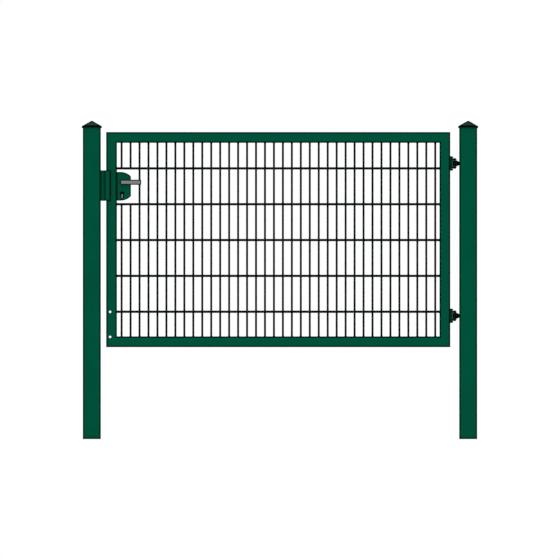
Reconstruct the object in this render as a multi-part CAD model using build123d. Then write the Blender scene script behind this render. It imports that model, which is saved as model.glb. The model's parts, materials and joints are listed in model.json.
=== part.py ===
from build123d import *
import os

# Single-leaf garden gate of welded steel tube with a double-rod mat, between two square posts.
# Millimetres. X runs along the gate, Y through it and Z up. The origin is the foot of the hinge post.
# The stop stands on the -Y side, so the leaf swings open towards +Y.

# Gateway
CLEAR_WIDTH = 2000.0
LATCH_GAP = 30.0
HINGE_GAP = 50.0

# Leaf frame: rectangular tube, mitred at the corners
LEAF_LIFT = 513.0
LEAF_HEIGHT = 1200.0
FRAME_FACE = 60.0
FRAME_DEPTH = 40.0
FRAME_WALL = 2.0
OUTER_CORNER_SHARE = 2.0
INNER_CORNER_SHARE = 1.0

# Posts: cold-formed square tube that rises a little above the leaf, left open at the foot
POST_SIDE = 100.0
POST_WALL = 3.0
POST_RISE = 32.0
BUSH_RADIUS = 12.0
BUSH_LENGTH = 25.0

# Post caps: a skirt round the post and a low hollow pyramid
CAP_WALL = 3.0
CAP_CLEARANCE = 2.0
CAP_LAP = 10.0
CAP_PLATE = 2.0
CAP_RISE = 29.0
CAP_TIP = 4.0
CAP_EDGE = 1.5

# Holes for a drop bolt in the lock stile
DROP_HOLE_RADIUS = 8.0
DROP_HOLE_INSET = 22.0
DROP_HOLE_LIFT = 57.0
DROP_HOLE_SPACING = 140.0

# Double-rod mat: single upright rods between pairs of level rods, welded where they cross
UPRIGHT_ROD = 10.0
UPRIGHT_PITCH = 50.0
LEVEL_ROD = 10.0
LEVEL_PITCH = 200.0
FIRST_LEVEL = 202.5
ROD_SIDES = 6
ROD_FLAT_SHARE = 0.952
CUT_STUB = 6.0
CUT_CLEARANCE = 5.0

# Hinges: a bracket with two ears on the leaf, an eye bolt in the post and a pin through both
HINGE_INSET = 175.0
PIVOT_OFFSET = 24.0
PLATE_HEIGHT = 80.0
PLATE_THICKNESS = 11.5
PLATE_CORNER = 4.0
EAR_RADIUS = 11.0
EAR_THICKNESS = 12.5
EAR_BEVEL_SHARE = 0.75
EYE_RADIUS = 11.0
EYE_HEIGHT = 30.0
EYE_END_PLAY = 0.5
EYE_NECK_RADIUS = 13.0
EYE_NECK_END = 6.5
EYE_NECK_THICKNESS = 15.0
SHANK_RADIUS = 6.0
SHANK_LENGTH = 45.0
PIN_RADIUS = 5.0
PIN_HEAD_RADIUS = 6.5
PIN_HEAD_HEIGHT = 2.0
RUNNING_FIT = 0.05

# Lock case: a box of plate with a curved back, welded to the lock stile midway between two level rods
LOCK_BAY_SHARE = 0.5
LOCK_CASE_WIDTH = 78.0
LOCK_CASE_HEIGHT = 160.0
LOCK_CASE_FLAT = 20.0
LOCK_CASE_TURN_IN = 25.0
LOCK_CASE_WALL = 3.0
LOCK_CASE_BEVEL = 3.0

# Mortise lock in the stile and the case
LOCK_AXIS_INSET = 29.0
LOCK_BODY_BEYOND = 16.0
LOCK_BODY_MARGIN = 9.0
LOCK_BODY_THICKNESS = 16.0
FOREND_LAP = 7.0
FOREND_WIDTH = 22.0
FOREND_THICKNESS = 3.0
LOCK_FIT = 0.2
FOLLOWER_CLEARANCE = 0.5
BOLT_HEIGHT = 34.0
BOLT_WIDTH = 11.0
BOLT_LENGTH = 40.0
BOLT_PROUD = 1.0
BOLT_BEVEL = 6.0
BOLT_MARGIN = 11.0

# Profile cylinder and its escutcheons
CYLINDER_EDGE_SPACE = 14.5
CYLINDER_RADIUS = 8.5
CYLINDER_HEIGHT = 33.0
CYLINDER_FLANK = 5.0
CYLINDER_PROUD = 3.0
KEYWAY_HEIGHT = 9.0
KEYWAY_WIDTH = 2.5
KEYWAY_DEPTH = 4.0
ESCUTCHEON_MARGIN = 4.0
ESCUTCHEON_THICKNESS = 2.0

# Lever handles on a square spindle
LEVER_EDGE_SPACE = 57.5
LEVER_LENGTH = 104.0
LEVER_HEIGHT = 23.0
LEVER_THICKNESS = 12.0
LEVER_BEVEL = 2.5
LEVER_STAND_OFF = 38.0
NECK_RADIUS = 9.0
NECK_CLEARANCE = 0.3
SPINDLE_SIDE = 8.0
SPINDLE_GRIP = 20.0
SPINDLE_FIT = 0.1

# Keeper on the latch post: a piece of tube behind a bent strike plate, whose lip stops the leaf
KEEPER_HEAD_LAP = 9.0
KEEPER_FOOT_LAP = 1.0
KEEPER_WALL = 3.0
KEEPER_CLEARANCE = 6.0
STRIKE_THICKNESS = 3.0
STRIKE_BEND = 1.5
LIP_OVERLAP = 24.0
STOP_CLEARANCE = 5.0
BUFFER_THICKNESS = 4.0
BUFFER_WIDTH = 16.0
EDGING_THICKNESS = 1.5
EDGING_LEG = 5.0
EDGING_BEVEL = 0.8
STRIKE_HOLE_MARGIN = 5.0
STRIKE_HOLE_WIDTH = 18.0
STRIKE_HOLE_CORNER = 2.0

OVERRUN = 10.0

# Sizes that follow from others
POST_LENGTH = LEAF_LIFT + LEAF_HEIGHT + POST_RISE
LOCK_BODY_HEIGHT = LOCK_CASE_HEIGHT - 2 * LOCK_CASE_WALL - 2 * LOCK_BODY_MARGIN
FOREND_HEIGHT = LOCK_BODY_HEIGHT + 2 * FOREND_LAP
KEEPER_HEIGHT = LOCK_CASE_HEIGHT + KEEPER_HEAD_LAP + KEEPER_FOOT_LAP

# Places that follow from the sizes
HINGE_POST_X = 0.0
LATCH_POST_X = HINGE_POST_X - CLEAR_WIDTH - POST_SIDE
HINGE_POST_FACE = HINGE_POST_X - POST_SIDE / 2
LATCH_POST_FACE = LATCH_POST_X + POST_SIDE / 2
LEAF_LEFT = LATCH_POST_FACE + LATCH_GAP
LEAF_RIGHT = HINGE_POST_FACE - HINGE_GAP
LEAF_BOTTOM = LEAF_LIFT
LEAF_TOP = LEAF_LIFT + LEAF_HEIGHT
INNER_LEFT = LEAF_LEFT + FRAME_FACE
INNER_RIGHT = LEAF_RIGHT - FRAME_FACE
INNER_BOTTOM = LEAF_BOTTOM + FRAME_FACE
INNER_TOP = LEAF_TOP - FRAME_FACE
FRONT = -FRAME_DEPTH / 2
BACK = FRAME_DEPTH / 2
PIVOT_X = LEAF_RIGHT + PIVOT_OFFSET
HINGE_HEIGHTS = {"upper": LEAF_TOP - HINGE_INSET, "lower": LEAF_BOTTOM + HINGE_INSET}
LOCK_Z = LEAF_TOP - FIRST_LEVEL - LEVEL_PITCH * LOCK_BAY_SHARE
LOCK_LOW = LOCK_Z - LOCK_CASE_HEIGHT / 2
LOCK_HIGH = LOCK_Z + LOCK_CASE_HEIGHT / 2
LOCK_AXIS_X = INNER_LEFT + LOCK_AXIS_INSET
LEVER_Z = LOCK_HIGH - LEVER_EDGE_SPACE
CYLINDER_Z = LOCK_LOW + CYLINDER_EDGE_SPACE + CYLINDER_HEIGHT - CYLINDER_RADIUS
LATCH_Z = LOCK_Z + LOCK_BODY_HEIGHT / 2 - BOLT_MARGIN - BOLT_HEIGHT / 2
DEAD_BOLT_Z = LOCK_Z - LOCK_BODY_HEIGHT / 2 + BOLT_MARGIN + BOLT_HEIGHT / 2
STRIKE_RIGHT = LEAF_LEFT - KEEPER_CLEARANCE
KEEPER_RIGHT = STRIKE_RIGHT - STRIKE_THICKNESS
KEEPER_LOW = LOCK_LOW - KEEPER_FOOT_LAP
LIP_BACK = FRONT - STOP_CLEARANCE - BUFFER_THICKNESS
LIP_FRONT = LIP_BACK - STRIKE_THICKNESS
LIP_RIGHT = LEAF_LEFT + LIP_OVERLAP
THROUGH_LEAF = (FRONT - OVERRUN, BACK + OVERRUN)


def block(x_limits, y_limits, z_limits):
    """A box between two limits on each axis."""
    spans = [limits[1] - limits[0] for limits in (x_limits, y_limits, z_limits)]
    middles = [(limits[0] + limits[1]) / 2 for limits in (x_limits, y_limits, z_limits)]
    return Pos(*middles) * Box(*spans)


def around(middle, size):
    """The two limits of a size about its middle."""
    return (middle - size / 2, middle + size / 2)


def level_bar(x_limits, z, radius):
    """A round bar along X, in the gate's middle plane."""
    length = x_limits[1] - x_limits[0]
    return Pos(sum(x_limits) / 2, 0, z) * Rot(0, 90, 0) * Cylinder(radius, length)


def through_bar(x, y_limits, z, radius):
    """A round bar along Y."""
    length = y_limits[1] - y_limits[0]
    return Pos(x, sum(y_limits) / 2, z) * Rot(90, 0, 0) * Cylinder(radius, length)


def elevation(face, y_limits):
    """A face drawn as seen along +Y, X across and Z up, extruded between two depths."""
    placed = Pos(0, y_limits[0], 0) * (Plane.XZ * face)
    return extrude(placed, amount=y_limits[1] - y_limits[0], dir=(0, 1, 0))


def tube_section(width, depth, wall):
    """The ring of a cold-formed tube, whose corner radii follow its wall."""
    outer = RectangleRounded(width, depth, wall * OUTER_CORNER_SHARE)
    inner = RectangleRounded(width - 2 * wall, depth - 2 * wall, wall * INNER_CORNER_SHARE)
    return outer - inner


def post_tube(x):
    """A square post from its foot to its top."""
    return Pos(x, 0, 0) * extrude(tube_section(POST_SIDE, POST_SIDE, POST_WALL), amount=POST_LENGTH)


def hinge_post():
    """The hinge post with a threaded bush welded inside it for each eye bolt."""
    post = post_tube(HINGE_POST_X)
    bush_end = HINGE_POST_FACE + POST_WALL + BUSH_LENGTH
    for z in HINGE_HEIGHTS.values():
        post = post + level_bar((HINGE_POST_FACE + POST_WALL / 2, bush_end), z, BUSH_RADIUS)
        hole_limits = (HINGE_POST_FACE - OVERRUN, bush_end + OVERRUN)
        post = post - level_bar(hole_limits, z, SHANK_RADIUS + RUNNING_FIT)
    return post


def pyramid(low_side, low_z, high_side, high_z):
    """A square frustum: a trapezoid carried along Y, kept within the same trapezoid carried along X."""
    trapezoid = Polyline(
        (-low_side / 2, low_z),
        (low_side / 2, low_z),
        (high_side / 2, high_z),
        (-high_side / 2, high_z),
        close=True,
    )
    along_y = elevation(make_face(trapezoid), around(0, low_side))
    return along_y & Rot(0, 0, 90) * along_y


def post_cap(x):
    """A cap that sits on the post's top edge, with its skirt outside and a hollow point."""
    inside = POST_SIDE + 2 * CAP_CLEARANCE
    outside = inside + 2 * CAP_WALL
    rim = POST_LENGTH + CAP_PLATE
    skirt = block(around(0, outside), around(0, outside), (POST_LENGTH - CAP_LAP, rim))
    skirt = chamfer(skirt.edges().filter_by(Axis.Z), CAP_EDGE)
    point = pyramid(outside - 2 * CAP_EDGE, rim, CAP_TIP, rim + CAP_RISE)
    socket = block(around(0, inside), around(0, inside), (POST_LENGTH - CAP_LAP - OVERRUN, POST_LENGTH))
    hollow = pyramid(POST_SIDE - 2 * POST_WALL, POST_LENGTH, CAP_TIP, rim + CAP_RISE - 2 * CAP_WALL)
    return Pos(x, 0, 0) * (skirt + point - socket - hollow)


def keeper_block():
    """A short piece of rectangular tube welded to the post, which the strike plate closes."""
    section = Plane.YZ * tube_section(FRAME_DEPTH, KEEPER_HEIGHT, KEEPER_WALL)
    placed = Pos(LATCH_POST_FACE, 0, KEEPER_LOW + KEEPER_HEIGHT / 2) * section
    return extrude(placed, amount=KEEPER_RIGHT - LATCH_POST_FACE, dir=(1, 0, 0))


def strike_plate():
    """A bent plate over the keeper, with a hole for each bolt and a lip in front of the leaf."""
    outline = Polyline(
        (KEEPER_RIGHT, BACK),
        (KEEPER_RIGHT, LIP_FRONT),
        (LIP_RIGHT, LIP_FRONT),
        (LIP_RIGHT, LIP_BACK),
        (STRIKE_RIGHT, LIP_BACK),
        (STRIKE_RIGHT, BACK),
        close=True,
    )
    section = make_face(outline)
    outer_bend = section.vertices().sort_by_distance((KEEPER_RIGHT, LIP_FRONT))[0]
    section = fillet(outer_bend, STRIKE_BEND + STRIKE_THICKNESS)
    inner_bend = section.vertices().sort_by_distance((STRIKE_RIGHT, LIP_BACK))[0]
    section = fillet(inner_bend, STRIKE_BEND)
    plate = Pos(0, 0, KEEPER_LOW) * extrude(section, amount=KEEPER_HEIGHT)
    hole_height = BOLT_HEIGHT + 2 * STRIKE_HOLE_MARGIN
    hole = RectangleRounded(STRIKE_HOLE_WIDTH, hole_height, STRIKE_HOLE_CORNER)
    for z in (LATCH_Z, DEAD_BOLT_Z):
        cutter = Pos(KEEPER_RIGHT - OVERRUN, 0, z) * (Plane.YZ * hole)
        plate = plate - extrude(cutter, amount=STRIKE_THICKNESS + 2 * OVERRUN, dir=(1, 0, 0))
    return plate


def stop_buffer():
    """A rubber edging on the lip: a pad behind it, a turn round its edge and a narrow leg in front."""
    right = LIP_RIGHT + EDGING_THICKNESS
    front = LIP_FRONT - EDGING_THICKNESS
    pad_left = LIP_RIGHT - BUFFER_WIDTH
    pad_back = LIP_BACK + BUFFER_THICKNESS
    outline = Polyline(
        (pad_left, LIP_BACK),
        (LIP_RIGHT, LIP_BACK),
        (LIP_RIGHT, LIP_FRONT),
        (LIP_RIGHT - EDGING_LEG, LIP_FRONT),
        (LIP_RIGHT - EDGING_LEG, front),
        (right, front),
        (right, pad_back),
        (pad_left, pad_back),
        close=True,
    )
    section = make_face(outline)
    for corner in ((right, front), (right, pad_back), (pad_left, pad_back)):
        section = chamfer(section.vertices().sort_by_distance(corner)[0], EDGING_BEVEL)
    return Pos(0, 0, KEEPER_LOW) * extrude(section, amount=KEEPER_HEIGHT)


def eye_bolt(z):
    """An eye on the hinge pin, a flattened neck that tapers to the post and a shank in the post's bush."""
    eye = Pos(PIVOT_X, 0, z) * Cylinder(EYE_RADIUS, EYE_HEIGHT)
    root = PIVOT_X + EYE_RADIUS
    collar = level_bar((PIVOT_X, root), z, EYE_NECK_RADIUS)
    taper = Rot(0, 90, 0) * Cone(EYE_NECK_RADIUS, EYE_NECK_END, HINGE_POST_FACE - root)
    taper = Pos((root + HINGE_POST_FACE) / 2, 0, z) * taper
    flat = block((PIVOT_X, HINGE_POST_FACE), around(0, EYE_NECK_THICKNESS), around(z, EYE_HEIGHT))
    shank = level_bar((root, HINGE_POST_FACE + SHANK_LENGTH), z, SHANK_RADIUS)
    bore = Pos(PIVOT_X, 0, z) * Cylinder(PIN_RADIUS + RUNNING_FIT, EYE_HEIGHT + OVERRUN)
    return eye + (collar + taper & flat) + shank - bore


def hinge_bracket(z):
    """A plate on the hinge stile with two bevelled ears, above and below the eye."""
    plate = block(
        (LEAF_RIGHT, LEAF_RIGHT + PLATE_THICKNESS),
        (FRONT, BACK),
        around(z, PLATE_HEIGHT),
    )
    plate = fillet(plate.edges().filter_by(Axis.X), PLATE_CORNER)
    ear = Rectangle(PIVOT_OFFSET, 2 * EAR_RADIUS, align=(Align.MAX, Align.CENTER)) + Circle(EAR_RADIUS)
    ear = extrude(ear - Circle(PIN_RADIUS + RUNNING_FIT), amount=EAR_THICKNESS)
    nose = ear.faces().sort_by(Axis.Z)[-1].edges().sort_by(Axis.X)[-1]
    ear = chamfer(nose, (EAR_RADIUS - PIN_RADIUS) * EAR_BEVEL_SHARE)
    upper = Pos(PIVOT_X, 0, z + EYE_HEIGHT / 2 + EYE_END_PLAY) * ear
    lower = mirror(upper, about=Plane.XY.offset(z))
    return plate + upper + lower


def hinge_pin(z):
    """A headed pin through the ears and the eye, spread over at its lower end."""
    half = EYE_HEIGHT / 2 + EYE_END_PLAY + EAR_THICKNESS
    pin = Cylinder(PIN_RADIUS, 2 * half + PIN_HEAD_HEIGHT)
    head = Cylinder(PIN_HEAD_RADIUS, PIN_HEAD_HEIGHT, align=(Align.CENTER, Align.CENTER, Align.MIN))
    upper = Pos(0, 0, half) * head
    return Pos(PIVOT_X, 0, z) * (pin + upper + mirror(upper, about=Plane.XY))


def mitred(tube, corners):
    """A frame tube kept within the mitre lines through its four corners."""
    return tube & elevation(make_face(Polyline(*corners, close=True)), THROUGH_LEAF)


def stile(left):
    """An upright frame tube."""
    section = Pos(left + FRAME_FACE / 2, 0, LEAF_BOTTOM) * tube_section(FRAME_FACE, FRAME_DEPTH, FRAME_WALL)
    return extrude(section, amount=LEAF_HEIGHT)


def rail(low):
    """A level frame tube."""
    section = Plane.YZ * tube_section(FRAME_DEPTH, FRAME_FACE, FRAME_WALL)
    section = Pos(LEAF_LEFT, 0, low + FRAME_FACE / 2) * section
    return extrude(section, amount=LEAF_RIGHT - LEAF_LEFT, dir=(1, 0, 0))


def cut_for_lock(lock_stile):
    """The lock stile with the forend's slot in its edge and the lock body's slot in its inner side."""
    middle = LEAF_LEFT + FRAME_FACE / 2
    forend_slot = block(
        (LEAF_LEFT - OVERRUN, middle),
        around(0, FOREND_WIDTH + 2 * LOCK_FIT),
        around(LOCK_Z, FOREND_HEIGHT + 2 * LOCK_FIT),
    )
    body_slot = block(
        (middle, INNER_LEFT + OVERRUN),
        around(0, LOCK_BODY_THICKNESS + 2 * LOCK_FIT),
        around(LOCK_Z, LOCK_BODY_HEIGHT + 2 * LOCK_FIT),
    )
    return lock_stile - forend_slot - body_slot


def drilled_for_drop_bolt(lock_stile):
    """The lock stile with the two through holes of a drop bolt."""
    hole_x = LEAF_LEFT + DROP_HOLE_INSET
    low_hole = LEAF_BOTTOM + DROP_HOLE_LIFT
    for z in (low_hole, low_hole + DROP_HOLE_SPACING):
        lock_stile = lock_stile - through_bar(hole_x, THROUGH_LEAF, z, DROP_HOLE_RADIUS)
    return lock_stile


def frame_tubes():
    """The four frame tubes, mitred where they meet."""
    outer = [(x, z) for x in (LEAF_LEFT, LEAF_RIGHT) for z in (LEAF_BOTTOM, LEAF_TOP)]
    inner = [(x, z) for x in (INNER_LEFT, INNER_RIGHT) for z in (INNER_BOTTOM, INNER_TOP)]
    low_left, high_left, low_right, high_right = range(len(outer))

    def between(first, second):
        return [outer[first], outer[second], inner[second], inner[first]]

    lock_stile = mitred(stile(LEAF_LEFT), between(low_left, high_left))
    return {
        "lock_stile": drilled_for_drop_bolt(cut_for_lock(lock_stile)),
        "hinge_stile": mitred(stile(INNER_RIGHT), between(low_right, high_right)),
        "top_rail": mitred(rail(INNER_TOP), between(high_left, high_right)),
        "bottom_rail": mitred(rail(LEAF_BOTTOM), between(low_left, low_right)),
    }


def upright_places():
    """Places of the upright rods: a pitch apart, centred in the frame."""
    span = INNER_RIGHT - INNER_LEFT
    count = int(span // UPRIGHT_PITCH)
    margin = (span - (count - 1) * UPRIGHT_PITCH) / 2
    return [INNER_LEFT + margin + step * UPRIGHT_PITCH for step in range(count)]


def level_heights():
    """Heights of the level rods: a pitch apart, counted down from the first one."""
    count = int((LEAF_HEIGHT - FRAME_FACE - FIRST_LEVEL) // LEVEL_PITCH) + 1
    return [LEAF_TOP - FIRST_LEVEL - step * LEVEL_PITCH for step in range(count)]


def rod_section(diameter):
    """A six-sided section of a round rod's area, flat towards +Y and -Y where rods are welded together."""
    return RegularPolygon(diameter / 2 * ROD_FLAT_SHARE, ROD_SIDES, major_radius=False)


def upright_rod(x, low, high):
    """One upright rod of the mat."""
    return Pos(x, 0, low) * extrude(rod_section(UPRIGHT_ROD), amount=high - low)


def level_rod(y, z, left):
    """One level rod of the mat, ending at the hinge stile."""
    section = Plane.YZ * rod_section(LEVEL_ROD).rotate(Axis.Z, 90)
    return extrude(Pos(left, y, z) * section, amount=INNER_RIGHT - left, dir=(1, 0, 0))


def rod_mat():
    """The rods between the frame's inner faces, fused at their welds and cut away round the lock."""
    uprights = upright_places()
    levels = level_heights()
    case_right = INNER_LEFT + LOCK_CASE_WIDTH + CUT_CLEARANCE
    whole = [x for x in uprights if x - UPRIGHT_ROD / 2 > case_right]
    below = [z for z in levels if z + LEVEL_ROD / 2 < LOCK_LOW - CUT_CLEARANCE]
    above = [z for z in levels if z - LEVEL_ROD / 2 > LOCK_HIGH + CUT_CLEARANCE]
    rods = [upright_rod(x, INNER_BOTTOM, INNER_TOP) for x in whole]
    for x in uprights:
        if x not in whole and below:
            rods.append(upright_rod(x, INNER_BOTTOM, max(below) + CUT_STUB))
        if x not in whole and above:
            rods.append(upright_rod(x, min(above) - CUT_STUB, INNER_TOP))
    offset = (UPRIGHT_ROD + LEVEL_ROD) / 2 * ROD_FLAT_SHARE
    for z in levels:
        left = INNER_LEFT if z in below + above else min(whole) - CUT_STUB
        rods.append(level_rod(-offset, z, left))
        rods.append(level_rod(offset, z, left))
    return rods[0].fuse(*rods[1:])


def lock_case_outline(wall):
    """The case seen from the front: straight by the stile, then curved in to a short straight edge."""
    left = INNER_LEFT - (OVERRUN if wall else 0)
    right = INNER_LEFT + LOCK_CASE_WIDTH - wall
    turn = INNER_LEFT + LOCK_CASE_FLAT
    low = LOCK_LOW + wall
    high = LOCK_HIGH - wall
    top = Line((left, high), (turn, high))
    top_curve = TangentArc((turn, high), (right, high - LOCK_CASE_TURN_IN), tangent=(1, 0))
    edge = Line((right, high - LOCK_CASE_TURN_IN), (right, low + LOCK_CASE_TURN_IN))
    bottom_curve = TangentArc((turn, low), (right, low + LOCK_CASE_TURN_IN), tangent=(1, 0))
    bottom = Line((turn, low), (left, low))
    back = Line((left, low), (left, high))
    return make_face([top, top_curve, edge, bottom_curve, bottom, back])


def cylinder_outline(growth):
    """The profile cylinder's outline: a round top and a narrower flank below it."""
    flank_radius = CYLINDER_FLANK + growth
    flank_drop = CYLINDER_HEIGHT - CYLINDER_RADIUS - CYLINDER_FLANK
    flank = Rectangle(2 * flank_radius, flank_drop, align=(Align.CENTER, Align.MAX))
    foot = Pos(0, -flank_drop) * Circle(flank_radius)
    return Pos(LOCK_AXIS_X, CYLINDER_Z) * (Circle(CYLINDER_RADIUS + growth) + flank + foot)


def lock_case():
    """Two cheeks and a curved wall, open towards the stile, with holes for the handle and cylinder."""
    case = elevation(lock_case_outline(0), (FRONT, BACK))
    away_from_stile = case.edges().filter_by(lambda edge: edge.center().X > INNER_LEFT + LOCK_CASE_WALL)
    cheek_edges = away_from_stile.filter_by(lambda edge: abs(edge.center().Y) > BACK - LOCK_CASE_WALL)
    case = chamfer(cheek_edges, LOCK_CASE_BEVEL)
    inside = elevation(lock_case_outline(LOCK_CASE_WALL), (FRONT + LOCK_CASE_WALL, BACK - LOCK_CASE_WALL))
    handle_hole = through_bar(LOCK_AXIS_X, THROUGH_LEAF, LEVER_Z, NECK_RADIUS + NECK_CLEARANCE)
    return case - inside - handle_hole - elevation(cylinder_outline(LOCK_FIT), THROUGH_LEAF)


def bolt_block(z, growth):
    """A lock bolt that is drawn back, or the space for one with a clearance round it."""
    start = LEAF_LEFT - BOLT_PROUD
    return block(
        (start, start + BOLT_LENGTH),
        around(0, BOLT_WIDTH + 2 * growth),
        around(z, BOLT_HEIGHT + 2 * growth),
    )


def lock_body():
    """The mortise lock: its forend flush in the stile's edge and its body reaching into the case."""
    forend = block(
        (LEAF_LEFT, LEAF_LEFT + FOREND_THICKNESS),
        around(0, FOREND_WIDTH),
        around(LOCK_Z, FOREND_HEIGHT),
    )
    body = block(
        (LEAF_LEFT, LOCK_AXIS_X + LOCK_BODY_BEYOND),
        around(0, LOCK_BODY_THICKNESS),
        around(LOCK_Z, LOCK_BODY_HEIGHT),
    )
    follower = SPINDLE_SIDE / 2 ** 0.5 + FOLLOWER_CLEARANCE
    lock = forend + body - through_bar(LOCK_AXIS_X, THROUGH_LEAF, LEVER_Z, follower)
    lock = lock - elevation(cylinder_outline(LOCK_FIT), THROUGH_LEAF)
    return lock - bolt_block(LATCH_Z, LOCK_FIT) - bolt_block(DEAD_BOLT_Z, LOCK_FIT)


def latch_bolt():
    """A bolt whose nose is bevelled on the side that meets the strike as the leaf closes."""
    bolt = bolt_block(LATCH_Z, 0)
    nose = bolt.edges().filter_by(Axis.Z).group_by(Axis.X)[0].sort_by(Axis.Y)[0]
    return chamfer(nose, BOLT_BEVEL)


def lock_cylinder():
    """The profile cylinder, standing proud of both cheeks, with a keyway at each end."""
    limits = (FRONT - CYLINDER_PROUD, BACK + CYLINDER_PROUD)
    cylinder = elevation(cylinder_outline(0), limits)
    keyway = Pos(LOCK_AXIS_X, CYLINDER_Z) * Rectangle(KEYWAY_WIDTH, KEYWAY_HEIGHT)
    cylinder = cylinder - elevation(keyway, (limits[0] - OVERRUN, limits[0] + KEYWAY_DEPTH))
    return cylinder - elevation(keyway, (limits[1] - KEYWAY_DEPTH, limits[1] + OVERRUN))


def front_escutcheon():
    """A thin cover on the case, round the cylinder."""
    ring = cylinder_outline(ESCUTCHEON_MARGIN) - cylinder_outline(LOCK_FIT)
    return elevation(ring, (FRONT - ESCUTCHEON_THICKNESS, FRONT))


def front_lever():
    """A straight lever, round about its axis and square at its end, on a round neck."""
    inner = FRONT - LEVER_STAND_OFF
    shape = Rectangle(LEVER_LENGTH, LEVER_HEIGHT, align=(Align.MIN, Align.CENTER)) + Circle(LEVER_HEIGHT / 2)
    grip = elevation(Pos(LOCK_AXIS_X, LEVER_Z) * shape, (inner - LEVER_THICKNESS, inner))
    grip = chamfer(grip.faces().filter_by(Axis.Y).edges(), LEVER_BEVEL)
    neck_limits = (inner - LEVER_THICKNESS / 2, FRONT + LOCK_CASE_WALL)
    neck = through_bar(LOCK_AXIS_X, neck_limits, LEVER_Z, NECK_RADIUS)
    side = SPINDLE_SIDE + 2 * SPINDLE_FIT
    socket = elevation(
        Pos(LOCK_AXIS_X, LEVER_Z) * Rectangle(side, side),
        (FRONT - SPINDLE_GRIP, FRONT + LOCK_CASE_WALL + OVERRUN),
    )
    return grip + neck - socket


def lever_spindle():
    """The square bar between the two handles."""
    square = Pos(LOCK_AXIS_X, LEVER_Z) * Rectangle(SPINDLE_SIDE, SPINDLE_SIDE)
    return elevation(square, (FRONT - SPINDLE_GRIP, BACK + SPINDLE_GRIP))


def nodes():
    """Every piece of the gate, by the name of its node."""
    pieces = {
        "latch_post": post_tube(LATCH_POST_X),
        "hinge_post": hinge_post(),
        "latch_post_cap": post_cap(LATCH_POST_X),
        "hinge_post_cap": post_cap(HINGE_POST_X),
        "keeper_block": keeper_block(),
        "strike_plate": strike_plate(),
        "stop_buffer": stop_buffer(),
        "rod_mat": rod_mat(),
        "lock_case": lock_case(),
        "lock_body": lock_body(),
        "latch_bolt": latch_bolt(),
        "dead_bolt": bolt_block(DEAD_BOLT_Z, 0),
        "lock_cylinder": lock_cylinder(),
        "front_escutcheon": front_escutcheon(),
        "back_escutcheon": mirror(front_escutcheon(), about=Plane.XZ),
        "front_lever": front_lever(),
        "back_lever": mirror(front_lever(), about=Plane.XZ),
        "lever_spindle": lever_spindle(),
    }
    pieces.update(frame_tubes())
    for place, z in HINGE_HEIGHTS.items():
        pieces[place + "_eye_bolt"] = eye_bolt(z)
        pieces[place + "_hinge_bracket"] = hinge_bracket(z)
        pieces[place + "_hinge_pin"] = hinge_pin(z)
    return pieces


os.makedirs("parts", exist_ok=True)
for name, piece in nodes().items():
    export_step(piece, "parts/" + name + ".step")
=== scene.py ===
import json
import math

import bpy
import numpy as np
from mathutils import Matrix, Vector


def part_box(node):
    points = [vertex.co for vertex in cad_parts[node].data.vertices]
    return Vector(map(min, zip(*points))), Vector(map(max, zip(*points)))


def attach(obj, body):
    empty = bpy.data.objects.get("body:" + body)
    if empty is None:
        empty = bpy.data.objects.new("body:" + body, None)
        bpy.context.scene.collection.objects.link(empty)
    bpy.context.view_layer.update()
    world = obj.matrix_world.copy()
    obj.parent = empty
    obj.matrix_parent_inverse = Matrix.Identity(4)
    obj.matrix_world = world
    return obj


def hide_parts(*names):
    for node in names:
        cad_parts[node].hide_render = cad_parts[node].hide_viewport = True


bl_info = {
    "name": "Tubular Frame Gate",
    "version": (1, 0, 0),
    "blender": (4, 5, 0),
    "location": "View3D > Sidebar > Gate",
    "description": "Rods, welds, screws, caps, handles and finishes of a tubular frame gate, and its stage",
    "category": "Add Mesh",
}

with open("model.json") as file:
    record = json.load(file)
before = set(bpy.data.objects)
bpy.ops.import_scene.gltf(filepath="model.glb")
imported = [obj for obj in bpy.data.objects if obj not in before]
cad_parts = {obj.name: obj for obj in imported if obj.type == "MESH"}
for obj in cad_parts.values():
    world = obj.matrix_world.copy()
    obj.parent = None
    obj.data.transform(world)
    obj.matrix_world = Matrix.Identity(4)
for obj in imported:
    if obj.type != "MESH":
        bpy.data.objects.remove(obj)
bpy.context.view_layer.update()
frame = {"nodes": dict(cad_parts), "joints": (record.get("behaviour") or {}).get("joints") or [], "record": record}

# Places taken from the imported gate, in metres
MM = 0.001
LOCK_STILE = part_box("lock_stile")
HINGE_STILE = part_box("hinge_stile")
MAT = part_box("rod_mat")
LOCK_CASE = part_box("lock_case")
LOCK_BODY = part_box("lock_body")
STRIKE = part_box("strike_plate")
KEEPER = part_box("keeper_block")
FRONT_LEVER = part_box("front_lever")
HINGE_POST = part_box("hinge_post")
LATCH_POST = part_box("latch_post")
JOINT_PLACES = {joint["name"]: joint["pos_m"] for joint in frame["joints"]}
LEVER_AXIS_X, LEVER_AXIS_Y, LEVER_AXIS_Z = JOINT_PLACES["lever_turn"]
LEAF_LEFT = LOCK_STILE[0].x
LEAF_RIGHT = HINGE_STILE[1].x
LEAF_TOP = LOCK_STILE[1].z
LEAF_BOTTOM = LOCK_STILE[0].z
FRONT = LOCK_STILE[0].y
BACK = LOCK_STILE[1].y
FRAME_FACE = LOCK_STILE[1].x - LEAF_LEFT
LOCK_MIDDLE = (LOCK_CASE[0].z + LOCK_CASE[1].z) / 2
GATE_MIDDLE = (LATCH_POST[0].x + HINGE_POST[1].x) / 2

# Most of a noise node's values lie between these two
NOISE_LOW = 0.3
NOISE_HIGH = 0.7

# Materials by slot or by their own name, which the first step makes
FINISHES = {}


def linear(code):
    """Linear colour of an sRGB hex code, by the piecewise sRGB curve."""
    channels = [int(code[place:place + 2], 16) / 255 for place in (1, 3, 5)]
    return tuple(c / 12.92 if c <= 0.04045 else ((c + 0.055) / 1.055) ** 2.4 for c in channels)


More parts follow.
